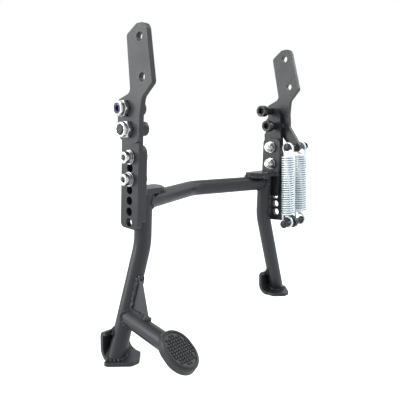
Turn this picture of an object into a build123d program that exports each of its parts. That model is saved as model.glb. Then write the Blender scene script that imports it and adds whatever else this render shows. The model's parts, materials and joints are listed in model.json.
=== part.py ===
from build123d import *
import math
import os

# Centre stand for a motorcycle: two legs with feet and a foot pedal, welded to a crossbar.
# On each side a drilled strip is clamped to the leg and carries a hanger on a pivot screw.
# A stop screw in the hanger runs round the strip's cam, and two springs pull it back.
# X is across the stand, Y runs forward, Z is up. Lengths are in mm and angles in degrees.
# "Forward" and "up" along a plate are written (u, v), from the upper clamp screw.

# plates and where they stand across the stand
hanger_gauge = 290.6        # across the outer faces of the hangers
hanger_thick = 6.0
joint_gap = 2.0             # thrust washer between a hanger and its strip
strip_thick = 6.0
inner_plate_thick = 6.0
plate_width = 29.0          # strips and inner plates

# clamp screws and the column of holes
clamp_above_crossbar = 51.5 # upper clamp screw above the crossbar's middle
hole_pitch = 12.0
hole_play = 0.8             # all round an M8 screw
clamp_rows = 2              # pitches between the two clamp screws
left_strip_holes = 7
right_strip_holes = 9
strip_tail = 7.0            # lowest hole to the strip's end, left
right_strip_tail = 12.0
strip_corner = 6.0
inner_plate_top = 13.0
inner_plate_bottom = -71.0
inner_plate_corner = 8.0
inner_plate_low_corner = 2.0
lean = 2.5                  # the legs lean, feet forward
settle = 6.4                # the sprung side has turned in the play of its holes

# pivot, stop pin and cam
pivot_u = -4.7
pivot_v = 30.5
pivot_play = 0.05
stop_radius = 22.5          # pivot to stop screw
stop_rest_angle = 75.8
hanger_travel = 92.0
stop_play = 0.3
head_centre_v = 42.0

# hanger
foot_front_u = 11.8
foot_rear_u = -24.0
foot_bottom_v = 16.5
foot_kink_v = 61.0
shoulder_v = 46.0
blade_front_low = (-8.6, 69.0)
blade_front_high = (-1.0, 128.2)
blade_top_front = (-16.8, 138.8)
blade_top_rear = (-31.5, 139.6)
blade_rear_low = (-42.3, 79.5)
blade_rear_foot = (-27.0, 64.5)
frame_hole_u = -26.7
frame_hole_v = 84.9
frame_hole_spacing = 41.0
frame_hole_tilt = 7.3
frame_hole_dia = 9.0
blade_top_rear_corner = 9.0
blade_top_front_corner = 4.0
blade_rear_bend = 5.0
blade_front_bend = 7.0
blade_front_corner = 4.0
foot_kink_corner = 4.0
foot_front_corner = 14.0
foot_rear_corner = 9.0
shoulder_rear_bend = 10.0
shoulder_corner = 12.0

# springs and their pegs, on the right side
upper_peg_u = -32.6
upper_peg_v = -1.1
lower_peg_u = -26.6
lower_peg_v = -109.8
spring_spacing = 33.0
spring_dia = 17.4
wire_dia = 3.3
hook_reach = 12.0           # peg to the end of the coils
peg_dia = 8.0
peg_flange_dia = 13.0
peg_flange = 2.5
lug_boss_dia = 15.0
hook_play = 0.3
coil_pitch_share = 0.98     # of the wire, as the coils press on each other
hook_turn = 290.0           # bend of a hook round its peg

# legs, crossbar and cap plates
tube_dia = 20.0
tube_wall = 2.5
bend_below_crossbar = 48.5  # corner of the leg's bend below the crossbar's middle
leg_bend_radius = 60.0
leg_foot_x = 155.2          # where the leg's axis would meet the ground
leg_foot_y = 6.9
leg_ahead = 2.0             # leg's axis ahead of the middle of its plate
crossbar_height = 172.5
crossbar_bow = 36.0
crossbar_bend = 35.0
cap_thick = 6.0
cap_reach = 39.0            # along the crossbar's front
cap_rear_reach = 29.0
cap_end_width = 12.0
cap_end_corner = 5.0
cap_rear_corner = 8.0

# feet
sole_inner_x = 128.5
sole_outer_x = 170.5
sole_inner_corner = 12.5
sole_outer_corner = 19.0
sole_corner_bend = 6.0
sole_thick = 4.5
sole_rear_y = -16.5
sole_front_y = 7.0
rocker_width = 37.0
rocker_x = 146.0
rocker_ahead = 4.6          # front of the rocker ahead of the leg's tube
rocker_height = 33.5
rocker_low_bend = 13.0
rocker_top_bend = 5.0
bend_share = 0.95           # most of the run before it that a bend may take

# pedal
lever_height = 47.0
lever_dia = 19.0
pad_middle = (-150.1, -84.8, 36.0)     # under the pad
pad_length = 47.5
pad_width = 34.5
pad_thick = 9.0
pad_tilt = 35.0
pad_rim = 3.0
lever_on_pad = 8.0          # above the middle of the pad
stud_rows = 10
stud_columns = 7
stud_pitch = 3.6
stud_size = 2.2
stud_height = 0.9
gusset_thick = 5.0
gusset_up = 58.0
gusset_out = 46.0

# screws, nuts and washers
pivot_screw_dia = 10.0
left_pivot_screw_length = 25.0
right_pivot_screw_length = 40.0
pivot_head_dia = 16.0
pivot_head_length = 10.0
pivot_head_socket = 8.0
pivot_nut_flats = 17.0
pivot_nut_height = 10.0
left_stand_off = 0.4        # pivot and stop screws' heads to the strip
right_pivot_stand_off = 11.5
right_stop_stand_off = 15.0
thrust_washer_dia = 20.0
thrust_washer_play = 0.25
clamp_screw_dia = 8.0
clamp_screw_length = 25.0
clamp_head_dia = 13.0
clamp_head_length = 8.0
clamp_head_socket = 6.0
clamp_washer_dia = 16.0
clamp_washer_thick = 1.6
clamp_washer_play = 0.2
clamp_nut_flats = 13.0
clamp_nut_height = 8.0
screw_end_share = 0.1       # bevel, of the screw's diameter
head_bevel_share = 0.0625   # of the head's diameter
socket_share = 0.6          # of the head's length
nut_hexagon_share = 0.7     # of the nut's height, as the next three
insert_start_share = 0.72
insert_share = 0.22
collar_bend_share = 0.12
corner_share = 0.56         # radius, of the width across the nut's flats, as the next four
collar_share = 0.44
insert_wide_share = 0.36
mouth_share = 0.33
nut_bevel_share = 0.05

# sizes that follow from those above
hanger_inner = hanger_gauge / 2 - hanger_thick
strip_inner = hanger_inner - joint_gap - strip_thick
inner_plate_inner = strip_inner - inner_plate_thick
joint_middle = hanger_inner - joint_gap / 2
leg_x = inner_plate_inner - tube_dia / 2
clamp_height = crossbar_height + clamp_above_crossbar
leg_bend_height = crossbar_height - bend_below_crossbar
clamp_spacing = clamp_rows * hole_pitch
hole_dia = clamp_screw_dia + 2 * hole_play
pin_track = pivot_screw_dia / 2 + stop_play
stop_end_angle = stop_rest_angle - hanger_travel
stop_u = pivot_u + stop_radius * math.cos(math.radians(stop_rest_angle))
stop_v = pivot_v + stop_radius * math.sin(math.radians(stop_rest_angle))
cap_bottom = crossbar_height + tube_dia / 2
rocker_front_y = leg_foot_y + tube_dia / 2 + rocker_ahead
coil_radius = (spring_dia - wire_dia) / 2
cutter = 4 * hanger_gauge   # reach of a block that cuts away all beyond a plane

# frames of the plates: the legs' own, and the sprung side's, turned in its holes
leg_frame = Pos(0, 0, clamp_height) * Rot(lean, 0, 0)
turned = Pos(0, 0, -clamp_spacing / 2) * Rot(-settle, 0, 0) * Pos(0, 0, clamp_spacing / 2)
unit_frames = {-1: leg_frame, 1: leg_frame * turned}
side_names = {-1: "left", 1: "right"}

nodes = {}


def slab(outline, side, inner, thick):
    """A flat plate from an outline in (u, v), with its inner face at a distance from the middle."""
    start = inner if side > 0 else -inner - thick
    return extrude(Plane.YZ.offset(start) * outline, thick)


def rod(side, u, v, radius, near, far):
    """A round bar across the stand, from near to far out from the middle."""
    return slab(Pos(u, v) * Circle(radius), side, near, far - near)


def leg_centre_y(height):
    """Y of the legs' upper axis at a height above the ground."""
    return leg_ahead + (clamp_height - height) * math.tan(math.radians(lean))


def rounded(corners):
    """A closed outline of straight lines, from its corners and the radius of each."""
    outline = make_face(Polyline(*[point for point, radius in corners], close=True))
    for point, radius in corners:
        corner = outline.vertices().sort_by_distance((*point, 0))[0]
        if radius > 0:
            outline = fillet(corner, radius)
    return outline


def hole_column(rows):
    """Discs for a column of screw holes, where row 0 is the upper clamp screw."""
    return [Pos(0, -row * hole_pitch) * Circle(hole_dia / 2) for row in rows]


def strip_outline(side):
    half = plate_width / 2
    if side < 0:
        bottom = -(left_strip_holes - 1) * hole_pitch - strip_tail
        holes = left_strip_holes
    else:
        bottom = -(right_strip_holes - 1) * hole_pitch - right_strip_tail
        holes = right_strip_holes
    body = rounded(
        [
            ((-half, bottom), strip_corner),
            ((half, bottom), strip_corner),
            ((half, head_centre_v), 0),
            ((-half, head_centre_v), 0),
        ]
    )
    body += Pos(0, head_centre_v) * Circle(half)
    if side > 0:
        lug = Pos(lower_peg_u, lower_peg_v) * Circle(lug_boss_dia / 2)
        root = Pos(-half + strip_corner, bottom + plate_width / 2) * Circle(strip_corner)
        body += make_hull(lug.edges() + root.edges())
    body -= stop_track()
    body -= Pos(pivot_u, pivot_v) * Circle(pivot_screw_dia / 2 + pivot_play)
    for disc in hole_column(range(holes)):
        body -= disc
    return body


def stop_track():
    """What the stop screw sweeps clear round the pivot, and all that lies outside it."""
    reach = stop_radius + plate_width
    sector = Circle(reach) - Circle(stop_radius - pin_track)
    far = 2 * reach
    start = math.radians(stop_rest_angle)
    end = math.radians(stop_end_angle)
    middle = (start + end) / 2
    wedge = make_face(
        Polyline(
            (0, 0),
            (far * math.cos(start), far * math.sin(start)),
            (far * math.cos(middle), far * math.sin(middle)),
            (far * math.cos(end), far * math.sin(end)),
            close=True,
        )
    )
    track = sector & wedge
    for angle in (start, end):
        track += Pos(stop_radius * math.cos(angle), stop_radius * math.sin(angle)) * Circle(pin_track)
    return Pos(pivot_u, pivot_v) * track


def hanger_outline(side):
    """The plate round the pivot and its stop, and the blade that bolts to the motorcycle."""
    outline = rounded(
        [
            (blade_top_rear, blade_top_rear_corner),
            (blade_rear_low, blade_rear_bend),
            (blade_rear_foot, shoulder_rear_bend),
            ((foot_rear_u, shoulder_v), shoulder_corner),
            ((foot_rear_u, foot_bottom_v), foot_rear_corner),
            ((foot_front_u, foot_bottom_v), foot_front_corner),
            ((foot_front_u, foot_kink_v), foot_kink_corner),
            (blade_front_low, blade_front_bend),
            (blade_front_high, blade_front_corner),
            (blade_top_front, blade_top_front_corner),
        ]
    )
    if side > 0:
        boss = Pos(upper_peg_u, upper_peg_v) * Circle(lug_boss_dia / 2)
        root_place = Pos(foot_rear_u + foot_rear_corner, foot_bottom_v + foot_rear_corner)
        root = root_place * Circle(foot_rear_corner)
        outline += make_hull(boss.edges() + root.edges())
        outline -= Pos(upper_peg_u, upper_peg_v) * Circle(peg_dia / 2)
    tilt = math.radians(frame_hole_tilt)
    for distance in (0, frame_hole_spacing):
        u = frame_hole_u + distance * math.sin(tilt)
        v = frame_hole_v + distance * math.cos(tilt)
        outline -= Pos(u, v) * Circle(frame_hole_dia / 2)
    for u, v in ((pivot_u, pivot_v), (stop_u, stop_v)):
        outline -= Pos(u, v) * Circle(pivot_screw_dia / 2)
    return outline


def inner_plate_outline():
    half = plate_width / 2
    body = rounded(
        [
            ((-half, inner_plate_bottom), inner_plate_low_corner),
            ((half, inner_plate_bottom), inner_plate_low_corner),
            ((half, inner_plate_top), inner_plate_corner),
            ((-half, inner_plate_top), inner_plate_corner),
        ]
    )
    for disc in hole_column((0, clamp_rows)):
        body -= disc
    return body


def socket_screw(dia, length, head_dia, head_length, socket):
    """Along +Z, with the underside of its head at zero."""
    shank = extrude(Circle(dia / 2), length)
    shank = chamfer(shank.edges().sort_by(Axis.Z)[-1], dia * screw_end_share)
    head = Pos(0, 0, -head_length) * extrude(Circle(head_dia / 2), head_length)
    head = chamfer(head.edges().sort_by(Axis.Z)[0], head_dia * head_bevel_share)
    hexagon = RegularPolygon(socket / 2, 6, major_radius=False)
    recess = extrude(hexagon, head_length * socket_share)
    return shank + head - Pos(0, 0, -head_length) * recess


def lock_nut(dia, flats, height):
    """Along +Z from its seat: a hexagon and the round collar that holds the insert."""
    hexagon = extrude(RegularPolygon(flats / 2, 6, major_radius=False), height * nut_hexagon_share)
    turned_corners = extrude(Circle(flats * corner_share), height * nut_hexagon_share)
    turned_corners = chamfer(turned_corners.edges(), flats * nut_bevel_share)
    collar = extrude(Circle(flats * collar_share), height)
    collar = fillet(collar.edges().sort_by(Axis.Z)[-1], height * collar_bend_share)
    insert_seat = extrude(Circle(flats * insert_wide_share), height * insert_share)
    mouth = extrude(Circle(flats * mouth_share), height)
    nut = (hexagon & turned_corners) + collar - extrude(Circle(dia / 2), height)
    nut -= Pos(0, 0, height * insert_start_share) * insert_seat
    return nut - Pos(0, 0, height * (insert_start_share + insert_share)) * mouth


def nut_insert(dia, flats, height):
    """The nylon ring that locks the nut on its thread."""
    ring = Circle(flats * insert_wide_share) - Circle(dia / 2)
    return Pos(0, 0, height * insert_start_share) * extrude(ring, height * insert_share)


def washer(dia, bore, thick):
    return extrude(Circle(dia / 2) - Circle(bore / 2), thick)


def outward(side, x, u, v):
    """A frame on one side whose Z points away from the middle."""
    return Plane(origin=(side * x, u, v), x_dir=(0, 1, 0), z_dir=(side, 0, 0)).location


def inward(side, x, u, v):
    """A frame on one side whose Z points to the middle."""
    return Plane(origin=(side * x, u, v), x_dir=(0, 1, 0), z_dir=(-side, 0, 0)).location


def make_strips_and_hangers():
    for side, frame in unit_frames.items():
        name = side_names[side]
        nodes[name + "_strip"] = frame * slab(strip_outline(side), side, strip_inner, strip_thick)
        nodes[name + "_hanger"] = frame * slab(hanger_outline(side), side, hanger_inner, hanger_thick)
        plate = slab(inner_plate_outline(), side, inner_plate_inner, inner_plate_thick)
        nodes[name + "_inner_plate"] = leg_frame * plate


def make_pivot_hardware():
    lengths = {-1: left_pivot_screw_length, 1: right_pivot_screw_length}
    pivot_stand_offs = {-1: left_stand_off, 1: right_pivot_stand_off}
    stop_stand_offs = {-1: left_stand_off, 1: right_stop_stand_off}
    nut = lock_nut(pivot_screw_dia, pivot_nut_flats, pivot_nut_height)
    insert = nut_insert(pivot_screw_dia, pivot_nut_flats, pivot_nut_height)
    bore = pivot_screw_dia + 2 * thrust_washer_play
    thrust = washer(thrust_washer_dia, bore, joint_gap)
    for side, frame in unit_frames.items():
        name = side_names[side]
        screw = socket_screw(
            pivot_screw_dia, lengths[side], pivot_head_dia, pivot_head_length, pivot_head_socket
        )
        pivot = frame * outward(side, strip_inner - pivot_stand_offs[side], pivot_u, pivot_v)
        stop = frame * outward(side, strip_inner - stop_stand_offs[side], stop_u, stop_v)
        nodes[name + "_pivot_screw"] = pivot * screw
        nodes[name + "_stop_screw"] = stop * screw
        beside_hanger = frame * outward(side, hanger_inner - joint_gap, pivot_u, pivot_v)
        nodes[name + "_thrust_washer"] = beside_hanger * thrust
        seat = hanger_inner + hanger_thick
        places = [frame * outward(side, seat, u, v) for u, v in ((pivot_u, pivot_v), (stop_u, stop_v))]
        nodes[name + "_hanger_nuts"] = [place * nut for place in places]
        nodes[name + "_nut_inserts"] = [place * insert for place in places]


def make_clamp_hardware():
    screw = socket_screw(
        clamp_screw_dia, clamp_screw_length, clamp_head_dia, clamp_head_length, clamp_head_socket
    )
    nut = lock_nut(clamp_screw_dia, clamp_nut_flats, clamp_nut_height)
    insert = nut_insert(clamp_screw_dia, clamp_nut_flats, clamp_nut_height)
    ring = washer(clamp_washer_dia, clamp_screw_dia + 2 * clamp_washer_play, clamp_washer_thick)
    screws, nuts, rings, inserts = [], [], [], []
    for side in unit_frames:
        for row in range(2):
            in_leg = leg_frame * Pos(0, 0, -row * clamp_spacing)
            in_strip = unit_frames[side] * Pos(0, 0, -row * clamp_spacing)
            middle = (in_leg.position + in_strip.position) / 2
            place = Pos(0, middle.Y, middle.Z) * Rot(lean, 0, 0)
            face = strip_inner + strip_thick
            rings.append(place * inward(side, face + clamp_washer_thick, 0, 0) * ring)
            rings.append(place * inward(side, inner_plate_inner, 0, 0) * ring)
            screws.append(place * inward(side, face + clamp_washer_thick, 0, 0) * screw)
            seat = inner_plate_inner - clamp_washer_thick
            nuts.append(place * inward(side, seat, 0, 0) * nut)
            inserts.append(place * inward(side, seat, 0, 0) * insert)
    nodes["clamp_screws"] = screws
    nodes["clamp_washers"] = rings
    nodes["clamp_nuts"] = nuts
    nodes["clamp_nut_inserts"] = inserts


def peg(u, v, middle):
    """A spring peg through the middle of a plate, with a flange at each end outside the springs."""
    far_spring = spring_spacing / 2 + abs(middle - joint_middle)
    half = far_spring + wire_dia / 2 + hook_play + peg_flange
    body = rod(1, u, v, peg_dia / 2, middle - half, middle + half)
    body += rod(1, u, v, peg_flange_dia / 2, middle - half, middle - half + peg_flange)
    body += rod(1, u, v, peg_flange_dia / 2, middle + half - peg_flange, middle + half)
    return body


def coils(length):
    """The coils of a spring along +Z, pressed together as a stack of rings."""
    count = math.ceil(length / (wire_dia * coil_pitch_share))
    pitch = (length - wire_dia) / (count - 1)
    section = Sketch()
    for coil in range(count):
        section += Pos(coil_radius, wire_dia / 2 + coil * pitch) * Circle(wire_dia / 2)
    return revolve(Plane.XZ * section, Axis.Z)


def hook(height, way):
    """The wire's end, raised from the last coil and bent round a peg at a height along Z."""
    centre = height + way * (coil_radius - wire_dia / 2 - peg_dia / 2 - hook_play / 2)
    coil_end = height + way * (hook_reach + wire_dia / 4)
    bend = []
    for turn in (0, hook_turn / 2, hook_turn):
        angle = math.radians(turn)
        bend.append((0, -coil_radius * math.cos(angle), centre - way * coil_radius * math.sin(angle)))
    path = Line((0, -coil_radius, coil_end), bend[0]) + ThreePointArc(*bend)
    return pipe(path, wire_dia)


def spring(x):
    """One spring between the pegs, with a hook at each end."""
    top = (unit_frames[1] * Pos(x, upper_peg_u, upper_peg_v)).position
    low = (unit_frames[1] * Pos(x, lower_peg_u, lower_peg_v)).position
    reach = top - low
    along = Plane(origin=low, x_dir=(1, 0, 0), z_dir=reach.normalized()).location
    body = Pos(0, 0, hook_reach) * coils(reach.length - 2 * hook_reach)
    return along * (body + hook(0, 1) + hook(reach.length, -1))


def make_springs():
    hanger_frame = unit_frames[1]
    strip_middle = strip_inner + strip_thick / 2
    hanger_middle = hanger_inner + hanger_thick / 2
    lower_peg = hanger_frame * peg(lower_peg_u, lower_peg_v, strip_middle)
    upper_peg = hanger_frame * peg(upper_peg_u, upper_peg_v, hanger_middle)
    nodes["lower_spring_peg"] = lower_peg
    nodes["upper_spring_peg"] = upper_peg
    nodes["right_strip"] = nodes["right_strip"] - lower_peg
    nodes["inner_spring"] = spring(joint_middle - spring_spacing / 2)
    nodes["outer_spring"] = spring(joint_middle + spring_spacing / 2)


def pipe(path, dia, wall=0.0):
    """A round tube along a path; a full bar when no wall is given."""
    outer = sweep(Plane(path.location_at(0)) * Circle(dia / 2), path=path)
    if wall == 0:
        return outer
    inner = sweep(Plane(path.location_at(0)) * Circle(dia / 2 - wall), path=path)
    return outer - inner


def leg_path(side):
    top = cap_bottom + tube_dia
    corner = Vector(side * leg_x, leg_centre_y(leg_bend_height), leg_bend_height)
    foot = Vector(side * leg_foot_x, leg_foot_y, 0)
    beyond = foot + (foot - corner).normalized() * tube_dia
    start = Vector(side * leg_x, leg_centre_y(top), top)
    return FilletPolyline(start, corner, beyond, radius=leg_bend_radius)


def crossbar_path():
    y = leg_centre_y(crossbar_height)
    left = (-leg_x, y, crossbar_height)
    middle = (0, y + crossbar_bow, crossbar_height)
    right = (leg_x, y, crossbar_height)
    return FilletPolyline(left, middle, right, radius=crossbar_bend)


def level_slab(low, high):
    """Everything between two heights."""
    return Pos(0, 0, (low + high) / 2) * Box(cutter, cutter, high - low)


def make_legs_and_crossbar():
    between = level_slab(sole_thick, cap_bottom)
    solid_legs = {}
    for side in (-1, 1):
        name = side_names[side]
        path = leg_path(side)
        solid_legs[side] = pipe(path, tube_dia)
        nodes[name + "_leg"] = pipe(path, tube_dia, tube_wall) & between
    bar = pipe(crossbar_path(), tube_dia, tube_wall)
    for side in (-1, 1):
        bar -= solid_legs[side]
        bar -= Pos(side * (leg_x + cutter / 2), 0, crossbar_height) * Box(cutter, cutter, cutter)
    nodes["crossbar"] = bar.solids().sort_by(SortBy.VOLUME)[-1]
    return solid_legs


def make_cap_plates():
    y = leg_centre_y(cap_bottom)
    half = plate_width / 2
    slope = crossbar_bow / leg_x
    end_x = inner_plate_inner - cap_reach
    end_y = leg_centre_y(crossbar_height) + slope * (leg_x - end_x)
    for side in (-1, 1):
        outline = rounded(
            [
                ((side * inner_plate_inner, y - half), 0),
                ((side * inner_plate_inner, y + half), 0),
                ((side * end_x, end_y + cap_end_width / 2), cap_end_corner),
                ((side * end_x, end_y - cap_end_width / 2), cap_end_corner),
                ((side * (inner_plate_inner - cap_rear_reach), y - half), cap_rear_corner),
            ]
        )
        plate = Pos(0, 0, cap_bottom) * extrude(outline, cap_thick)
        nodes[side_names[side] + "_cap_plate"] = plate


def make_feet(solid_legs):
    top_line = rocker_height - sole_thick / 2
    for side in (-1, 1):
        name = side_names[side]
        inner_slope = side * (sole_inner_x + sole_inner_corner)
        outer_slope = side * (sole_outer_x - sole_outer_corner)
        outline = rounded(
            [
                ((side * sole_inner_x, sole_front_y), 0),
                ((side * sole_inner_x, sole_rear_y + sole_inner_corner), sole_corner_bend),
                ((inner_slope, sole_rear_y), sole_corner_bend),
                ((outer_slope, sole_rear_y), sole_corner_bend),
                ((side * sole_outer_x, sole_rear_y + sole_outer_corner), sole_corner_bend),
                ((side * sole_outer_x, sole_front_y), 0),
            ]
        )
        nodes[name + "_sole"] = extrude(outline, sole_thick)
        front = rocker_front_y - sole_thick / 2
        path = FilletPolyline(
            (sole_front_y, sole_thick / 2),
            (front, sole_thick / 2),
            (front, top_line),
            (leg_foot_y + tube_dia / 2 - sole_thick, top_line),
            radius=[min(rocker_low_bend, bend_share * (front - sole_front_y)), rocker_top_bend],
        )
        band = trace(path, sole_thick)
        strap = extrude(Plane.YZ.offset(side * rocker_x - rocker_width / 2) * band, rocker_width)
        nodes[name + "_rocker"] = strap - solid_legs[side]


def make_pedal(solid_legs):
    corner = Vector(-leg_x, leg_centre_y(leg_bend_height), leg_bend_height)
    foot = Vector(-leg_foot_x, leg_foot_y, 0)
    leg_way = (foot - corner).normalized()
    start = corner + leg_way * ((leg_bend_height - lever_height) / -leg_way.Z)
    rise = math.radians(pad_tilt)
    end = Vector(*pad_middle) + Vector(0, math.cos(rise), math.sin(rise)) * lever_on_pad
    lever_way = (end - start).normalized()
    pad_frame = Pos(*pad_middle) * Rot(pad_tilt, 0, 0)

    line = Line(start, end + lever_way * pad_thick)
    lever = pipe(line, lever_dia)
    above_pad = pad_frame * Pos(0, 0, cutter / 2) * Box(cutter, cutter, cutter)
    nodes["pedal_lever"] = pipe(line, lever_dia, tube_wall) - solid_legs[-1] - above_pad

    pad = extrude(Rot(0, 0, 90) * SlotOverall(pad_length, pad_width), pad_thick)
    pad = fillet(pad.edges().group_by(Axis.Z)[-1], pad_rim)
    field = pad_width / 2 - pad_rim
    straight = (pad_length - pad_width) / 2
    studs = []
    for row in range(stud_rows):
        for column in range(stud_columns):
            y = (row - (stud_rows - 1) / 2) * stud_pitch
            x = (column - (stud_columns - 1) / 2) * stud_pitch
            past_straight = max(abs(y) - straight, 0)
            if math.hypot(x, past_straight) + stud_size / 2 < field:
                studs.append(Pos(x, y, pad_thick) * Box(stud_size, stud_size, 2 * stud_height))
    pad = pad.fuse(*studs)
    nodes["pedal_pad"] = pad_frame * pad

    gusset_plane = Plane(origin=start, x_dir=lever_way, z_dir=leg_way.cross(lever_way))
    corners = [start, start - leg_way * gusset_up, start + lever_way * gusset_out]
    flat = make_face(Polyline(*[gusset_plane.to_local_coords(corner) for corner in corners], close=True))
    gusset = extrude(gusset_plane * flat, gusset_thick / 2, both=True)
    nodes["pedal_gusset"] = gusset - solid_legs[-1] - lever


make_strips_and_hangers()
make_pivot_hardware()
make_clamp_hardware()
make_springs()
legs = make_legs_and_crossbar()
make_cap_plates()
make_feet(legs)
make_pedal(legs)


def as_one(shape):
    return Compound(children=shape) if isinstance(shape, list) else shape


nodes = {name: as_one(shape) for name, shape in nodes.items()}
box = Compound([solid for shape in nodes.values() for solid in shape.solids()]).bounding_box()
origin = Pos(-box.center().X, -box.center().Y, -box.min.Z)
print("origin shift", origin.position)

os.makedirs("parts", exist_ok=True)
for name, shape in nodes.items():
    export_step(origin * shape, "parts/" + name + ".step")
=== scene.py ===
import json
import math
import bpy
import bmesh
from mathutils import Matrix, Vector
from mathutils.bvhtree import BVHTree


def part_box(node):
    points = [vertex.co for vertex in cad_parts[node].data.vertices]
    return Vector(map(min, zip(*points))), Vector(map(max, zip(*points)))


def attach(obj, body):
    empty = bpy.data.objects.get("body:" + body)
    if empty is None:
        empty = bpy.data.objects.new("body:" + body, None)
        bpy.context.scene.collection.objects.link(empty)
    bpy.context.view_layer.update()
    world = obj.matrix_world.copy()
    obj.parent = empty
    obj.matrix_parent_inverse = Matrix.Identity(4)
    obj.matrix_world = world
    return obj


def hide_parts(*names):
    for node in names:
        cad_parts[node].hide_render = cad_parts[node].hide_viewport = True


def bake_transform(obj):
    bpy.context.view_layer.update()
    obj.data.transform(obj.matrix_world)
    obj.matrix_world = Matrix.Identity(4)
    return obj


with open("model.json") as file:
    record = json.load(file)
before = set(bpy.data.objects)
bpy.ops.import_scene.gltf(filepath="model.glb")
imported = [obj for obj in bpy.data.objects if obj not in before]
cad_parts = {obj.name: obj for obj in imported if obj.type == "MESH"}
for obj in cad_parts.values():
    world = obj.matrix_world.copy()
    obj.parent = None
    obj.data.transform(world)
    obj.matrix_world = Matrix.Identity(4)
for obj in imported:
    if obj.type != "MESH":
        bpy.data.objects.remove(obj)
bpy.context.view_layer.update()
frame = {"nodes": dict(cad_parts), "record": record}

# A black centre stand for a motorcycle, on a white studio floor.
# The frame is in metres: +X is the sprung side, +Y the front of the motorcycle, +Z up.

print("frame loaded:", len(frame["nodes"]), "nodes")

mm = 0.001
together = 0.00001      # points of a mesh that are closer than this are one


# shader building

class Value:
    # a socket of a node tree; arithmetic on it adds Math nodes
    def __init__(self, tree, socket):
        self.tree = tree
        self.socket = socket

    def calc(self, operation, first, second=None):
        made = self.tree.nodes.new("ShaderNodeMath")
        made.operation = operation
        for place, item in enumerate((first, second)):
            if isinstance(item, Value):
                self.tree.links.new(item.socket, made.inputs[place])
            elif item is not None:
                made.inputs[place].default_value = item
        return Value(self.tree, made.outputs[0])

    def __add__(self, other):
        return self.calc("ADD", self, other)

    def __radd__(self, other):
        return self.calc("ADD", other, self)

    def __sub__(self, other):
        return self.calc("SUBTRACT", self, other)

    def __rsub__(self, other):
        return self.calc("SUBTRACT", other, self)

    def __mul__(self, other):
        return self.calc("MULTIPLY", self, other)

    def __rmul__(self, other):
        return self.calc("MULTIPLY", other, self)

    def between(self, low, high):
        # 0 up to low, 1 from high, straight in between
        rise = (self - low) * (1 / (high - low))
        return self.calc("MINIMUM", self.calc("MAXIMUM", rise, 0.0), 1.0)


class Finish:
    # a material or a world, and the one way that its nodes are added
    def __init__(self, name, kind="materials"):
        self.block = getattr(bpy.data, kind).new(name)
        self.block.use_nodes = True
        self.tree = self.block.node_tree
        self.tree.nodes.clear()

    def node(self, kind, settings=None, values=None, output=0):
        made = self.tree.nodes.new("ShaderNode" + kind)
        for key, setting in (settings or {}).items():
            setattr(made, key, setting)
        for key, item in (values or {}).items():
            if isinstance(item, Value):
                self.tree.links.new(item.socket, made.inputs[key])
            else:
                made.inputs[key].default_value = item
        return Value(self.tree, made.outputs[output]) if made.outputs else made

    def mix(self, factor, first, second):
        return self.node("Mix", {"data_type": "RGBA"}, {0: factor, 6: first, 7: second}, output=2)

    def dot(self, first, second):
        return self.node("VectorMath", {"operation": "DOT_PRODUCT"}, {0: first, 1: second}, output="Value")

    def noise(self, scale, detail=2.0, stretch=(1, 1, 1)):
        place = self.node("TexCoord", output="Object")
        place = self.node("Mapping", None, {"Vector": place, "Scale": stretch})
        return self.node("TexNoise", None, {"Vector": place, "Scale": scale, "Detail": detail})

    def patches(self, scale, detail=3, low=0.35, high=0.7):
        # soft patches of a second tone; a higher low leaves fewer of them
        return self.noise(scale, detail).between(low, high)

    def softEdge(self, radius):
        # a normal that is rounded over the edges, and how much of an edge a place is
        rounded = self.node("Bevel", {"samples": 6}, {"Radius": radius})
        flat = self.node("NewGeometry", output="Normal")
        return rounded, (1.0 - self.dot(rounded, flat)).between(0.01, 0.15)

    def openness(self, distance, low, high):
        # 0 deep in a crease or a recess, 1 in the open; the mask for painted shade
        seen = self.node("AmbientOcclusion", {"samples": 8}, {"Distance": distance}, output="AO")
        return seen.between(low, high)

    def bump(self, height, depth, normal=None):
        values = {"Height": height, "Distance": depth, "Strength": 1.0}
        if normal is not None:
            values["Normal"] = normal
        return self.node("Bump", None, values)

    def paint(self, values):
        shader = self.node("BsdfPrincipled", None, values)
        self.node("OutputMaterial", None, {"Surface": shader})
        return self.block


# finishes

powderCoat = {
    "colour": (0.0130, 0.0145, 0.0170, 1),
    "worn": (0.050, 0.053, 0.058, 1),
    "dust": (0.022, 0.024, 0.027, 1),
    "wornShare": 0.7,
    "dustShare": 0.6,
    "dustScale": 26,
    "grainScale": 1500,
    "grainDepth": 0.00007,
    "edge": 0.0006,
    "rough": 0.36,
    "dustRough": 0.1,            # what dust adds to the roughness
    "wornShine": 0.08,           # what wear takes from it
}


def makePowderCoat():
    p = powderCoat
    finish = Finish("powderCoat")
    normal, worn = finish.softEdge(p["edge"])
    dust = finish.patches(p["dustScale"], 4)
    grain = finish.noise(p["grainScale"])
    colour = finish.mix(dust * p["dustShare"], p["colour"], p["dust"])
    return finish.paint({
        "Base Color": finish.mix(worn * p["wornShare"], colour, p["worn"]),
        "Roughness": p["rough"] + dust * p["dustRough"] - worn * p["wornShine"],
        "Normal": finish.bump(grain, p["grainDepth"], normal),
        "Specular IOR Level": 0.5,
    })


blackOxide = {
    "colour": (0.030, 0.029, 0.029, 1),
    "rubbed": (0.14, 0.14, 0.14, 1),
    "edgeShare": 0.8,            # of the rubbed colour, at the edges
    "blotchShare": 0.12,
    "blotchScale": 220,
    "grainScale": 2600,
    "grainDepth": 0.00003,
    "edge": 0.0004,
    "metal": 0.5,
    "edgeMetal": 0.3,            # what the edges add to it
    "rough": 0.26,
    "blotchRough": 0.14,
}


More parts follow.
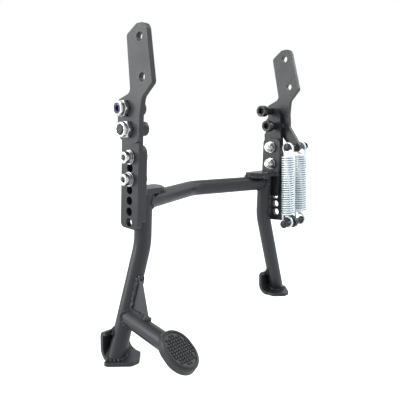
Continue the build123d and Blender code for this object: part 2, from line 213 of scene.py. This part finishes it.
def makeBlackOxide():
    b = blackOxide
    finish = Finish("blackOxide")
    normal, edge = finish.softEdge(b["edge"])
    blotch = finish.patches(b["blotchScale"], 4, low=0.4)
    grain = finish.noise(b["grainScale"])
    rubbed = edge * b["edgeShare"] + blotch * b["blotchShare"]
    return finish.paint({
        "Base Color": finish.mix(rubbed, b["colour"], b["rubbed"]),
        "Metallic": b["metal"] + edge * b["edgeMetal"],
        "Roughness": b["rough"] + blotch * b["blotchRough"],
        "Normal": finish.bump(grain, b["grainDepth"], normal),
    })


brightZinc = {
    "colour": (0.86, 0.86, 0.83, 1),
    "dull": (0.48, 0.48, 0.48, 1),
    "paintedShade": (0.10, 0.10, 0.10, 1),
    "recess": 0.004,             # reach of the painted shade in sockets and corners
    "dullScale": 300,
    "brushScale": 900,
    "brushDepth": 0.00002,
    "edge": 0.0004,
    "rough": 0.20,
    "dullRough": 0.16,
    "edgeShine": 0.05,
}


def makeBrightZinc():
    b = brightZinc
    finish = Finish("brightZinc")
    normal, edge = finish.softEdge(b["edge"])
    dull = finish.patches(b["dullScale"])
    brushed = finish.noise(b["brushScale"], 3, stretch=(6, 1, 1))
    # painted shade: the colour darkens in sockets and corners, where the ambient occlusion is low
    unshaded = finish.openness(b["recess"], 0.3, 0.85)
    clean = finish.mix(dull, b["colour"], b["dull"])
    return finish.paint({
        "Base Color": finish.mix(unshaded, b["paintedShade"], clean),
        "Metallic": 1.0,
        "Roughness": b["rough"] + dull * b["dullRough"] - edge * b["edgeShine"],
        "Normal": finish.bump(brushed, b["brushDepth"], normal),
    })


springZinc = {
    "colour": (0.76, 0.88, 0.92, 1),
    "pale": (0.93, 0.98, 1.0, 1),
    "paintedShade": (0.035, 0.045, 0.050, 1),
    "crease": 0.0018,            # reach of the painted shade between two coils
    "paleScale": 380,
    "grainScale": 1400,
    "grainDepth": 0.00002,
    "metal": 0.5,
    "rough": 0.28,
    "paleRough": 0.14,
}


def makeSpringZinc():
    s = springZinc
    finish = Finish("springZinc")
    pale = finish.patches(s["paleScale"])
    grain = finish.noise(s["grainScale"])
    # painted shade: the colour darkens between the coils, where the ambient occlusion is low
    unshaded = finish.openness(s["crease"], 0.5, 0.92)
    clean = finish.mix(pale, s["colour"], s["pale"])
    return finish.paint({
        "Base Color": finish.mix(unshaded, s["paintedShade"], clean),
        "Metallic": s["metal"],
        "Roughness": s["rough"] + pale * s["paleRough"],
        "Normal": finish.bump(grain, s["grainDepth"]),
    })


blueNylon = {
    "colour": (0.008, 0.012, 0.085, 1),
    "pale": (0.020, 0.028, 0.150, 1),
    "paleScale": 600,
    "grainScale": 1800,
    "grainDepth": 0.00003,
    "rough": 0.33,
    "paleRough": 0.1,
    "coat": 0.3,
}


def makeBlueNylon():
    b = blueNylon
    finish = Finish("blueNylon")
    pale = finish.patches(b["paleScale"])
    return finish.paint({
        "Base Color": finish.mix(pale, b["colour"], b["pale"]),
        "Roughness": b["rough"] + pale * b["paleRough"],
        "Normal": finish.bump(finish.noise(b["grainScale"]), b["grainDepth"]),
        "Coat Weight": b["coat"],
    })


weldCoat = {
    "colour": (0.020, 0.022, 0.025, 1),
    # painted highlight: a lighter colour on the tops of the lumps
    "crestHighlight": (0.10, 0.10, 0.105, 1),
    "lumpScale": 420,
    "lumpDepth": 0.0007,
    "rough": 0.24,
    "lumpRough": 0.16,
}


def makeWeldCoat():
    w = weldCoat
    finish = Finish("weldCoat")
    lump = finish.noise(w["lumpScale"], 3)
    return finish.paint({
        # painted highlight on the crests of the lumps
        "Base Color": finish.mix(lump.between(0.45, 0.7), w["colour"], w["crestHighlight"]),
        "Roughness": w["rough"] + lump * w["lumpRough"],
        "Normal": finish.bump(lump, w["lumpDepth"]),
    })


padCoat = {
    "colour": (0.0150, 0.0160, 0.0180, 1),
    "worn": (0.045, 0.047, 0.050, 1),
    "edgeShare": 0.6,            # of the worn colour, at the edges
    "patchShare": 0.2,
    "patchScale": 90,
    "grainScale": 2200,
    "grainDepth": 0.00005,
    "edge": 0.0005,
    "rough": 0.40,
    "patchRough": 0.08,
}


def makePadCoat():
    p = padCoat
    finish = Finish("padCoat")
    normal, edge = finish.softEdge(p["edge"])
    patch = finish.patches(p["patchScale"], low=0.4)
    grain = finish.noise(p["grainScale"])
    worn = edge * p["edgeShare"] + patch * p["patchShare"]
    return finish.paint({
        "Base Color": finish.mix(worn, p["colour"], p["worn"]),
        "Roughness": p["rough"] + patch * p["patchRough"],
        "Normal": finish.bump(grain, p["grainDepth"], normal),
    })


finishes = {
    "black_paint": makePowderCoat(),
    "pedal_paint": makePadCoat(),
    "black_oxide": makeBlackOxide(),
    "bright_zinc": makeBrightZinc(),
    "zinc_spring": makeSpringZinc(),
    "blue_nylon": makeBlueNylon(),
}
weldFinish = makeWeldCoat()


def giveFinish(piece, material):
    piece.data.materials.clear()
    piece.data.materials.append(material)


for part in frame["record"]["subparts"]:
    giveFinish(frame["nodes"][part["node"]], finishes[part["material_slot"]])
print("finishes given to the plain nodes")


# what the pieces are made with

def nodeMiddle(name):
    low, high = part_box(name)
    return (low + high) / 2


plateAhead = 1.393 * mm      # from the clamps' plane forward to the middle of an inner plate
standY = nodeMiddle("left_inner_plate").y - plateAhead      # Y of the clamps' plane


def keepPiece(bm, name, material, crease=40):
    bmesh.ops.remove_doubles(bm, verts=bm.verts, dist=together)
    bmesh.ops.recalc_face_normals(bm, faces=bm.faces)
    mesh = bpy.data.meshes.new(name)
    bm.to_mesh(mesh)
    bm.free()
    mesh.set_sharp_from_angle(angle=math.radians(crease))
    piece = bpy.data.objects.new(name, mesh)
    bpy.context.collection.objects.link(piece)
    giveFinish(piece, material)
    return piece


def alongX(spot, way=1):
    # moves a piece that was made upright to a spot, with its top to +X or to -X
    return Matrix.Translation(spot) @ Matrix.Rotation(way * math.pi / 2, 4, "Y")


def allOf(bm):
    return list(bm.verts) + list(bm.edges) + list(bm.faces)


def vertsIn(geom):
    return [item for item in geom if isinstance(item, bmesh.types.BMVert)]


def edgesIn(geom):
    return [item for item in geom if isinstance(item, bmesh.types.BMEdge)]


def nextRing(bm, ring):
    # extrudes a ring of edges and gives the new ring's vertices and edges
    made = bmesh.ops.extrude_edge_only(bm, edges=ring)["geom"]
    verts = vertsIn(made)
    return verts, [edge for edge in edgesIn(made) if all(vert in verts for vert in edge.verts)]


def raisedOn(bm, ring, rise):
    verts, edges = nextRing(bm, ring)
    bmesh.ops.translate(bm, verts=verts, vec=(0, 0, rise))
    return edges


def turnedOn(bm, ring, height, radiusOf):
    # takes a ring to a height and a radius, which may change round the ring
    verts, edges = nextRing(bm, ring)
    for vert in verts:
        angle = math.atan2(vert.co.y, vert.co.x)
        radius = radiusOf(angle)
        vert.co = (radius * math.cos(angle), radius * math.sin(angle), height)
    return edges


def spunOn(bm, ring, angle, centre, axis, steps, rise=0.0):
    # carries a ring round an axis and gives the ring at its end
    made = bmesh.ops.spin(bm, geom=ring, cent=centre, axis=axis, dvec=Vector((0, 0, rise / steps)),
                          angle=angle, steps=steps, use_duplicate=False)
    return edgesIn(made["geom_last"])


def plain(radius):
    return lambda angle: radius


def hexagon(flats, start=0.0, limit=math.inf):
    # a hexagon by its width across flats, its corners turned down to a limit
    return lambda angle: min(limit, flats / 2 / math.cos((angle + start) % (math.pi / 3) - math.pi / 6))


def turnProfile(bm, profile, steps, closed=False):
    # turns a profile, given as radii and heights, round Z
    verts = [bm.verts.new((radius, 0, height)) for radius, height in profile]
    others = verts[1:] + verts[:1] if closed else verts[1:]
    edges = [bm.edges.new(pair) for pair in zip(verts, others)]
    bmesh.ops.spin(bm, geom=verts + edges, cent=(0, 0, 0), axis=(0, 0, 1), angle=2 * math.pi, steps=steps,
                   use_merge=True)


# springs

spring = {
    "coilWire": 2.8 * mm,
    "coilRadius": 7.8 * mm,
    "halfTurns": 12.69,          # from the middle to the last coil's end
    "stepsInTurn": 30,
    "sides": 12,
    "hookReach": 12.0 * mm,      # peg to the first coil
    "pegRadius": 4.0 * mm,
    "pegPlay": 0.15 * mm,
    "bend": 2.5 * mm,            # radius of the bend from the last coil into the hook
    "bendSteps": 6,
    "loop": 290,                 # degrees of the loop round the peg
    "loopSteps": 36,
}


def makeSpring(name, node, low, high):
    # half a spring is wound from its middle to its hook, then turned over for the other half
    s = spring
    wire = s["coilWire"] / 2
    reach = (high - low).length / 2
    coilTop = reach - s["hookReach"] - wire
    turn = s["halfTurns"] * 2 * math.pi
    bm = bmesh.new()
    start = Matrix.Translation((s["coilRadius"], 0, 0)) @ Matrix.Rotation(math.pi / 2, 4, "X")
    bmesh.ops.create_circle(bm, segments=s["sides"], radius=wire, matrix=start)
    ring = list(bm.edges)
    ring = spunOn(bm, ring, turn, (0, 0, 0), (0, 0, 1), round(s["halfTurns"] * s["stepsInTurn"]), coilTop)
    outward = Vector((math.cos(turn), math.sin(turn), 0))
    onward = Vector((-outward.y, outward.x, 0))
    end = outward * s["coilRadius"] + Vector((0, 0, coilTop))
    ring = spunOn(bm, ring, math.pi / 2, end + Vector((0, 0, s["bend"])), outward, s["bendSteps"])
    post = end + onward * s["bend"] + Vector((0, 0, s["bend"]))
    loopHeight = reach - (s["coilRadius"] - wire - s["pegRadius"] - s["pegPlay"])
    ring = raisedOn(bm, ring, loopHeight - post.z)
    centre = (post.x, post.y + s["coilRadius"], loopHeight)
    ring = spunOn(bm, ring, math.radians(s["loop"]), centre, (-1, 0, 0), s["loopSteps"])
    bmesh.ops.contextual_create(bm, geom=ring)
    otherHalf = vertsIn(bmesh.ops.duplicate(bm, geom=allOf(bm))["geom"])
    bmesh.ops.rotate(bm, verts=otherHalf, cent=(0, 0, 0), matrix=Matrix.Rotation(math.pi, 3, "X"))
    along = (high - low).normalized()
    across = Vector((1, 0, 0))
    upright = Matrix((across, along.cross(across), along)).transposed().to_4x4()
    bmesh.ops.transform(bm, verts=bm.verts, matrix=Matrix.Translation((low + high) / 2) @ upright)
    piece = keepPiece(bm, name, finishes["zinc_spring"])
    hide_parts(node)
    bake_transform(piece)


lowerPeg = nodeMiddle("lower_spring_peg")
upperPeg = nodeMiddle("upper_spring_peg")
for name, node in (("innerCoils", "inner_spring"), ("outerCoils", "outer_spring")):
    x = nodeMiddle(node).x
    makeSpring(name, node, Vector((x, lowerPeg.y, lowerPeg.z)), Vector((x, upperPeg.y, upperPeg.z)))
print("springs wound")


# screws

capScrew = {
    "segments": 72,
    # in the head's radius
    "seat": 0.95,
    "knurl": 0.975,              # every second line of the knurl
    "band": 0.98,                # smooth band at the head's top
    # in the head's length, from the seat
    "knurlStart": 0.06,
    "knurlEnd": 0.82,
    "bandStart": 0.86,
    "socketDepth": 0.6,
    "headBevel": 0.8 * mm,
    "bevelFall": 0.6,            # height of that bevel in its width
    "socketMouth": 0.35 * mm,
    "endBevel": 0.9 * mm,
    "oneScrew": 100 * mm,        # a wider node has a screw for each side and height
    "sizes": {
        # node: shank radius, head radius, head length, socket across flats and what the end falls short of
        # the node's, all in mm, then slot and body
        "left_pivot_screw": (5, 8, 10, 8, 0, "black_oxide", "left_hanger"),
        "left_stop_screw": (5, 8, 10, 8, 3.5, "black_oxide", "left_hanger"),
        "right_pivot_screw": (5, 8, 10, 8, 0, "black_oxide", "right_hanger"),
        "right_stop_screw": (5, 8, 10, 8, 0, "black_oxide", "right_hanger"),
        "clamp_screws": (4, 6.5, 8, 6, 0, "bright_zinc", "stand"),
    },
}


def solidBoxes(node):
    # lowest and highest corner of each screw of a node
    low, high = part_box(node)
    split = (low + high) / 2
    several = (high - low).x >= capScrew["oneScrew"]
    groups = {}
    for vert in frame["nodes"][node].data.vertices:
        group = (vert.co.x > split.x, vert.co.z > split.z) if several else 0
        groups.setdefault(group, []).append(vert.co)
    return [(Vector(map(min, *group)), Vector(map(max, *group))) for group in groups.values()]


def makeCapScrew(name, place, length, shank, head, headLength, flats, material):
    # along +Z, with the underside of the head at zero
    c = capScrew
    line = 2 * math.pi / c["segments"]

    def knurled(angle):
        return head * (c["knurl"] if round(angle / line) % 2 else 1)

    bm = bmesh.new()
    bmesh.ops.create_circle(bm, segments=c["segments"], radius=shank - c["endBevel"],
                            matrix=Matrix.Translation((0, 0, length)))
    first = list(bm.edges)
    ring = first
    for height, radiusOf in (
        (length - c["endBevel"], plain(shank)),
        (0, plain(shank)),
        (0, plain(head * c["seat"])),
        (-c["knurlStart"] * headLength, knurled),
        (-c["knurlEnd"] * headLength, knurled),
        (-c["bandStart"] * headLength, plain(head * c["band"])),
        (-headLength + c["headBevel"] * c["bevelFall"], plain(head * c["band"])),
        (-headLength, plain(head - c["headBevel"])),
        (-headLength, plain(flats / math.sqrt(3) + c["socketMouth"])),
        (-headLength + c["socketMouth"], hexagon(flats)),
        (-headLength * (1 - c["socketDepth"]), hexagon(flats)),
    ):
        ring = turnedOn(bm, ring, height, radiusOf)
    bmesh.ops.contextual_create(bm, geom=ring)
    bmesh.ops.contextual_create(bm, geom=first)
    bmesh.ops.transform(bm, verts=bm.verts, matrix=place)
    return keepPiece(bm, name, material, crease=30)


for node, (shank, head, headLength, flats, short, slotName, body) in capScrew["sizes"].items():
    for number, (low, high) in enumerate(solidBoxes(node)):
        side = 1 if low.x > 0 else -1
        way = -side if node == "clamp_screws" else side      # from head to end
        under = (low.x if way > 0 else high.x) + way * headLength * mm
        length = (high - low).x - (headLength + short) * mm
        middle = (low + high) / 2
        place = alongX((under, middle.y, middle.z), way)
        name = node.replace("_s", "S").replace("_p", "P") + str(number + 1)
        piece = makeCapScrew(name, place, length, shank * mm, head * mm, headLength * mm, flats * mm,
                             finishes[slotName])
        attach(piece, body)
        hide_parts(node)
print("screws turned")


# spring pegs

springPeg = {
    "pin": 4.0 * mm,
    "flange": 5.6 * mm,
    "flangeThick": 2.5 * mm,
    "flangeEdge": 0.4 * mm,      # rounding at the flange's rim
    "flangeBack": 0.3 * mm,
    "dome": 0.9 * mm,
    "domeCurve": ((0, 0), (0.45, 0.25), (0.8, 0.6)),      # in the flange's radius, and in the dome's fall
    "shoulder": 5.4 * mm,        # collar welded to the plate
    "shoulderOut": 4.6 * mm,     # from the middle of the plate
    "shoulderEdge": 0.5 * mm,
    "steps": 40,
}


def makePeg(node, body):
    # turned pin with a rounded flange at each end
    p = springPeg
    low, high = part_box(node)
    half = (high - low).x / 2
    flangeFoot = half - p["flangeThick"]
    profile = [(p["flange"] * share, half - p["dome"] * fall) for share, fall in p["domeCurve"]]
    profile += [
        (p["flange"], half - p["dome"] - p["flangeEdge"]),
        (p["flange"], flangeFoot + p["flangeBack"]),
        (p["flange"] - p["flangeEdge"], flangeFoot),
        (p["pin"], flangeFoot),
        (p["pin"], p["shoulderOut"]),
        (p["shoulder"], p["shoulderOut"] - p["shoulderEdge"]),
        (p["shoulder"], 0),
    ]
    bm = bmesh.new()
    turnProfile(bm, profile, p["steps"])
    bmesh.ops.mirror(bm, geom=allOf(bm), axis="Z", merge_dist=together)
    bmesh.ops.transform(bm, verts=bm.verts, matrix=alongX(nodeMiddle(node)))
    name = "turned" + node.title().replace("_", "")
    piece = keepPiece(bm, name, finishes["black_oxide"], crease=35)
    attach(piece, body)
    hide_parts(node)


makePeg("lower_spring_peg", "stand")
makePeg("upper_spring_peg", "right_hanger")
print("pegs turned")


# lock nuts of the hangers

lockNut = {
    "segments": 72,
    "flats": 17 * mm,
    "height": 10 * mm,
    "hexagon": 5.0 * mm,         # height of the hexagon; the rest is the collar
    "turned": 8.9 * mm,          # radius the corners are turned down to at the seat and the shoulder
    "chamfer": 0.8 * mm,
    "neck": 0.2 * mm,            # height of the step from the hexagon to the collar
    "collar": 8.1 * mm,
    "collarBend": 1.6 * mm,
    "bendSteps": 8,
    "lip": 6.0 * mm,
    "lipFall": 0.15 * mm,
    "lipDeep": 0.9 * mm,
    "bore": 5.05 * mm,
}


def makeLockNuts(name, node, side, body):
    # two nuts with a round collar each, turned up from the bore, over the seat and back into the mouth
    n = lockNut
    low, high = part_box(node)
    seat = low.x if side > 0 else high.x
    corners = hexagon(n["flats"], math.pi / 6)
    turnedDown = hexagon(n["flats"], math.pi / 6, n["turned"])
    collarTurns = [step / n["bendSteps"] * math.pi / 2 for step in range(n["bendSteps"] + 1)]
    bm = bmesh.new()
    for screw in ("pivot", "stop"):
        spot = nodeMiddle(body.replace("hanger", screw) + "_screw")
        old = set(bm.verts)
        made = bmesh.ops.create_circle(bm, segments=n["segments"], radius=n["bore"])["verts"]
        ring = [edge for edge in bm.edges if edge.verts[0] in made]
        for height, radiusOf in (
            (0, turnedDown),
            (n["chamfer"], corners),
            (n["hexagon"] - n["chamfer"], corners),
            (n["hexagon"], turnedDown),
            (n["hexagon"] + n["neck"], plain(n["collar"])),
            *((n["height"] - n["collarBend"] * (1 - math.sin(turn)),
               plain(n["collar"] - n["collarBend"] * (1 - math.cos(turn)))) for turn in collarTurns),
            (n["height"] - n["lipFall"], plain(n["lip"])),
            (n["height"] - n["lipDeep"], plain(n["lip"])),
            (n["height"] - n["lipDeep"], plain(n["bore"])),
            (0, plain(n["bore"])),
        ):
            ring = turnedOn(bm, ring, height, radiusOf)
        bmesh.ops.transform(bm, verts=[vert for vert in bm.verts if vert not in old],
                            matrix=alongX((seat, spot.y, spot.z), side))
    piece = keepPiece(bm, name, finishes["bright_zinc"], crease=25)
    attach(piece, body)
    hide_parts(node)


makeLockNuts("leftLockNuts", "left_hanger_nuts", -1, "left_hanger")
makeLockNuts("rightLockNuts", "right_hanger_nuts", 1, "right_hanger")
print("lock nuts turned")


# nylon ring

nylonRing = {
    "outer": 5.5 * mm,
    "inner": 3.2 * mm,
    "face": 9.35 * mm,           # from the hanger's outer face
    "thick": 1.6 * mm,
    "swell": 0.25 * mm,
    "mouth": 0.3 * mm,           # depth and width of the inner rim's slope
    "mouthWidth": 0.4 * mm,
    "steps": 48,
}


def makeNylonRing(name, side, spot, face, body):
    # the locking ring as it shows in a nut whose screw ends inside it
    n = nylonRing
    bm = bmesh.new()
    turnProfile(bm, [
        (n["inner"], n["face"] - n["thick"]),
        (n["inner"], n["face"] - n["mouth"]),
        (n["inner"] + n["mouthWidth"], n["face"] + n["swell"]),
        (n["outer"], n["face"]),
        (n["outer"], n["face"] - n["thick"]),
    ], n["steps"], closed=True)
    bmesh.ops.transform(bm, verts=bm.verts, matrix=alongX((face, spot.y, spot.z), side))
    piece = keepPiece(bm, name, finishes["blue_nylon"], crease=30)
    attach(piece, body)


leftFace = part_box("left_hanger")[0].x
makeNylonRing("leftStopNylon", -1, nodeMiddle("left_stop_screw"), leftFace, "left_hanger")
print("nylon ring set")


# welds

weld = {
    "ripple": 0.5,               # a ripple's length in its width
    "sides": (10, 6),            # faces of a ripple, around and along
    "step": 1.7 * mm,            # from one ripple to the next
    "closest": 0.8,              # least distance between two ripples, in steps
    "uneven": 0.09,              # share by which their width changes
    "beat": 5.3,                 # how it changes from one to the next, in radians
    "touch": 0.06 * mm,          # surfaces this close are joined
    "fold": 0.3,                 # radians; an edge that is flatter gets no bead
    "clearGround": 2.6 * mm,
    "capTongue": 16 * mm,
    "capLevel": 0.1 * mm,        # height of what counts as the tongue's lower edge
    "seams": {
        # name: half the width of the beads, then the pairs of nodes they join, or a cap plate by itself
        "crossbarWelds": (2.4 * mm, ("crossbar", "left_leg"), ("crossbar", "right_leg"),
                          ("left_cap_plate", "left_inner_plate"), ("right_cap_plate", "right_inner_plate"),
                          ("left_cap_plate",), ("right_cap_plate",)),
        "footWelds": (2.3 * mm, ("left_leg", "left_sole"), ("right_leg", "right_sole"),
                      ("left_rocker", "left_leg"), ("right_rocker", "right_leg"),
                      ("left_rocker", "left_sole"), ("right_rocker", "right_sole")),
        "pedalWelds": (2.2 * mm, ("pedal_lever", "left_leg"), ("pedal_lever", "pedal_pad")),
        "gussetWelds": (3.4 * mm, ("pedal_gusset", "left_leg"), ("pedal_gusset", "pedal_lever")),
    },
}


def spotsAlong(name, wanted):
    # spots and directions along the wanted edges of a node, one for each ripple
    bm = bmesh.new()
    bm.from_mesh(frame["nodes"][name].data)
    bmesh.ops.remove_doubles(bm, verts=bm.verts, dist=together)
    spots = []
    for edge in bm.edges:
        if edge.calc_face_angle(0) < weld["fold"] or not wanted(edge):
            continue
        start, end = [vert.co for vert in edge.verts]
        way = end - start
        count = max(1, math.ceil(way.length / weld["step"]))
        for place in range(count):
            spots.append((start + way * ((place + 0.5) / count), way.normalized()))
    bm.free()
    return spots


def surfaceTree(name):
    bm = bmesh.new()
    bm.from_mesh(frame["nodes"][name].data)
    tree = BVHTree.FromBMesh(bm)
    bm.free()
    return tree


def seamSpots(name, other):
    # along the edges of one node that lie on the surface of another, where its faces leave that surface
    tree = surfaceTree(other)

    def touches(point):
        return tree.find_nearest(point, weld["touch"])[0] is not None

    def onSeam(edge):
        return (all(touches(vert.co) for vert in edge.verts)
                and not all(touches(face.calc_center_median()) for face in edge.link_faces))

    return spotsAlong(name, onSeam)


def capSpots(name):
    # along the lower edge of a cap plate's tongue, where it sits on the crossbar
    low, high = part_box(name)
    level = low.z + weld["capLevel"]
    tongue = min(abs(low.x), abs(high.x)) + weld["capTongue"]

    def onTongue(edge):
        return all(vert.co.z <= level and abs(vert.co.x) <= tongue for vert in edge.verts)

    return spotsAlong(name, onTongue)


def makeWelds(name, width, seams):
    around, up = weld["sides"]
    apart = weld["step"] * weld["closest"]
    bm = bmesh.new()
    laid = []
    for seam in seams:
        for spot, way in (seamSpots(*seam) if len(seam) == 2 else capSpots(*seam)):
            if spot.z < weld["clearGround"] or any((spot - old).length < apart for old in laid):
                continue
            laid.append(spot)
            wide = width * (1 + weld["uneven"] * math.sin(weld["beat"] * len(laid)))
            size = Matrix.Diagonal((wide, wide, wide * weld["ripple"], 1))
            turn = way.to_track_quat("Z", "Y").to_matrix().to_4x4()
            bmesh.ops.create_uvsphere(bm, u_segments=around, v_segments=up, radius=1,
                                      matrix=Matrix.Translation(spot) @ turn @ size)
    print(name, len(laid), "ripples")
    piece = keepPiece(bm, name, weldFinish)
    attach(piece, "stand")


for name, (width, *seams) in weld["seams"].items():
    makeWelds(name, width, seams)
print("welds laid")


# pad of the pedal

pad = {
    "middle": (-150.1, -84.8, 36.0),      # mm, middle of its underside, with Y from the clamps' plane
    "tilt": 35.0,
    "length": 46.4 * mm,
    "width": 34.2 * mm,
    "thick": 9.7 * mm,
    "ovalness": 0.5,                      # from straight sides to an ellipse
    "outlineSegments": 64,
    "roundness": 3.0 * mm,                # radius of the upper edge
    "roundSegments": 7,
    "rim": 0.4 * mm,                      # flat of the rim
    "slope": 0.5 * mm,                    # width of the slope from the rim down to the field
    "sunk": 1.2 * mm,
    "studPitch": 3.2 * mm,
    "studBase": 2.5 * mm,
    "studTop": 1.5 * mm,
    "studHeight": 1.3 * mm,
    "studRoot": 0.05 * mm,                # how far a stud reaches into the field
}


def makePadBody(bm, radius, apart, stretch):
    # oval block with a rounded upper edge and a sunk field inside a rim
    p = pad
    turn = Matrix.Rotation(math.pi / p["outlineSegments"], 4, "Z")
    outline = bmesh.ops.create_circle(bm, cap_ends=True, segments=p["outlineSegments"], radius=radius,
                                      matrix=turn)["verts"]
    bmesh.ops.scale(bm, verts=outline, vec=(1, stretch, 1))
    for way in (1, -1):
        half = [vert for vert in outline if vert.co.y * way > 0]
        bmesh.ops.translate(bm, verts=half, vec=(0, way * apart, 0))
    top = vertsIn(bmesh.ops.extrude_face_region(bm, geom=list(bm.faces))["geom"])
    bmesh.ops.translate(bm, verts=top, vec=(0, 0, p["thick"]))
    upperEdge = [edge for edge in bm.edges if all(vert in top for vert in edge.verts)]
    bmesh.ops.bevel(bm, geom=upperEdge, offset=p["roundness"], offset_type="OFFSET",
                    segments=p["roundSegments"], profile=0.5, affect="EDGES", material=-1)
    field = [max(bm.faces, key=lambda face: (face.calc_center_median().z, face.calc_area()))]
    bmesh.ops.inset_region(bm, faces=field, thickness=p["rim"], depth=0)
    bmesh.ops.inset_region(bm, faces=field, thickness=p["slope"], depth=-p["sunk"])


def makeStuds(bm, reach, straight, apart, stretch):
    p = pad
    height = p["thick"] - p["sunk"] + p["studHeight"] / 2 - p["studRoot"]
    columns = int(reach // p["studPitch"])
    rows = int((reach + straight) // p["studPitch"])
    for row in range(-rows, rows + 1):
        for column in range(-columns - 1, columns + 1):
            x, y = (column + 0.5) * p["studPitch"], row * p["studPitch"]
            if math.hypot(x, max(abs(y) - apart, 0) / stretch) > reach:
                continue
            place = Matrix.Translation((x, y, height)) @ Matrix.Rotation(math.pi / 4, 4, "Z")
            bmesh.ops.create_cone(bm, cap_ends=True, segments=4, radius1=p["studBase"] / math.sqrt(2),
                                  radius2=p["studTop"] / math.sqrt(2), depth=p["studHeight"], matrix=place)


def makePad():
    p = pad
    half = p["width"] / 2
    straight = (p["length"] - p["width"]) / 2
    apart = straight * (1 - p["ovalness"])
    stretch = 1 + straight * p["ovalness"] / half
    reach = half - p["roundness"] - p["rim"] - p["slope"] - p["studBase"] / 2
    bm = bmesh.new()
    makePadBody(bm, half, apart, stretch)
    makeStuds(bm, reach, straight, apart, stretch)
    place = (Matrix.Translation(Vector(p["middle"]) * mm + Vector((0, standY, 0)))
             @ Matrix.Rotation(math.radians(p["tilt"]), 4, "X"))
    bmesh.ops.transform(bm, verts=bm.verts, matrix=place)
    piece = keepPiece(bm, "footPad", finishes["pedal_paint"])
    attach(piece, "stand")
    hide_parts("pedal_pad")


makePad()
print("pad made")


# floor, light and camera

studio = {
    "floorSize": 40.0,
    "floorBelow": 0.0002,
    "floorWhite": 0.6,
    "floorRough": 0.9,
    "floorGlow": 0.9,
    "skyHigh": 0.85,
    "skyLow": 1.25,
    "skyFrom": -0.5,                      # heights of a direction where the sky is all low and all high
    "skyTo": 0.9,
    "skyTint": (0.95, 0.985, 1.03, 1),
    "darkSide": (-0.72, -0.68, -0.1),     # the unlit side of the room, behind the camera
    "darkFrom": 0.55,
    "darkTo": 0.95,
    "darkness": 0.2,
}


def grey(level):
    return (level, level, level, 1)


def makeFloor():
    bm = bmesh.new()
    bmesh.ops.create_grid(bm, x_segments=1, y_segments=1, size=studio["floorSize"] / 2)
    mesh = bpy.data.meshes.new("floor")
    bm.to_mesh(mesh)
    bm.free()
    floor = bpy.data.objects.new("floor", mesh)
    floor.location = (0, 0, -studio["floorBelow"])
    floor.visible_diffuse = False          # the white floor doesn't light the stand from below
    floor.visible_glossy = False
    bpy.context.collection.objects.link(floor)
    finish = Finish("whiteFloor")
    giveFinish(floor, finish.paint({
        "Base Color": grey(studio["floorWhite"]),
        "Roughness": studio["floorRough"],
        "Specular IOR Level": 0.0,
        "Emission Color": grey(1.0),
        "Emission Strength": studio["floorGlow"],
    }))


def makeWorld():
    # a white background; what lights the stand is a sky that darkens upward and to the room's unlit side
    s = studio
    sky = Finish("studio", "worlds")
    way = sky.node("TexCoord", output="Generated")
    height = sky.node("SeparateXYZ", None, {0: way}, output="Z").between(s["skyFrom"], s["skyTo"])
    facing = sky.dot(way, s["darkSide"]).between(s["darkFrom"], s["darkTo"])
    lit = s["skyLow"] + height * (s["skyHigh"] - s["skyLow"])
    strength = lit * (1 - facing * s["darkness"])
    fill = sky.node("Background", None, {"Color": s["skyTint"], "Strength": strength})
    white = sky.node("Background", None, {"Color": grey(1.0), "Strength": 1.0})
    seen = sky.node("LightPath", output="Is Camera Ray")
    sky.node("OutputWorld", None, {"Surface": sky.node("MixShader", None, {0: seen, 1: fill, 2: white})})
    bpy.context.scene.world = sky.block


softboxes = {
    # name: place, aim, width, height, power in watts
    "leftBox": ((-1.0, 0.72, 0.6), (-0.12, 0.03, 0.28), 0.5, 0.9, 8.5),
    "highBox": ((-0.45, 0.1, 1.2), (0, 0.03, 0.15), 0.3, 0.9, 3.5),
    "rightBox": ((0.9, -0.37, 0.95), (0, 0.03, 0.2), 0.25, 0.9, 5),
}


def makeLights():
    for name, (place, aim, width, height, power) in softboxes.items():
        light = bpy.data.lights.new(name, "AREA")
        light.shape = "RECTANGLE"
        light.size = width
        light.size_y = height
        light.energy = power
        lamp = bpy.data.objects.new(name, light)
        lamp.location = place
        lamp.rotation_mode = "QUATERNION"
        lamp.rotation_quaternion = (Vector(aim) - Vector(place)).to_track_quat("-Z", "Y")
        bpy.context.collection.objects.link(lamp)


cameraSet = {
    "place": (-476.6, -422.2, 265.4),      # mm, with Y from the clamps' plane
    "right": (0.6845, -0.7290, 0.0),
    "up": (0.0603, 0.0566, 0.9966),
    "lens": 44.86,
    "sensor": 36,
    "shiftUp": -0.1,
    "nearest": 0.01,
}


def makeCamera():
    c = cameraSet
    data = bpy.data.cameras.new("camera")
    data.lens = c["lens"]
    data.sensor_width = c["sensor"]
    data.shift_y = c["shiftUp"]
    data.clip_start = c["nearest"]
    camera = bpy.data.objects.new("camera", data)
    right = Vector(c["right"])
    up = Vector(c["up"])
    camera.matrix_world = (Matrix.Translation(Vector(c["place"]) * mm + Vector((0, standY, 0)))
                           @ Matrix((right, up, right.cross(up))).transposed().to_4x4())
    bpy.context.collection.objects.link(camera)
    bpy.context.scene.camera = camera


makeFloor()
makeWorld()
makeLights()
makeCamera()
bpy.context.scene.view_settings.view_transform = "Standard"
print("studio set")
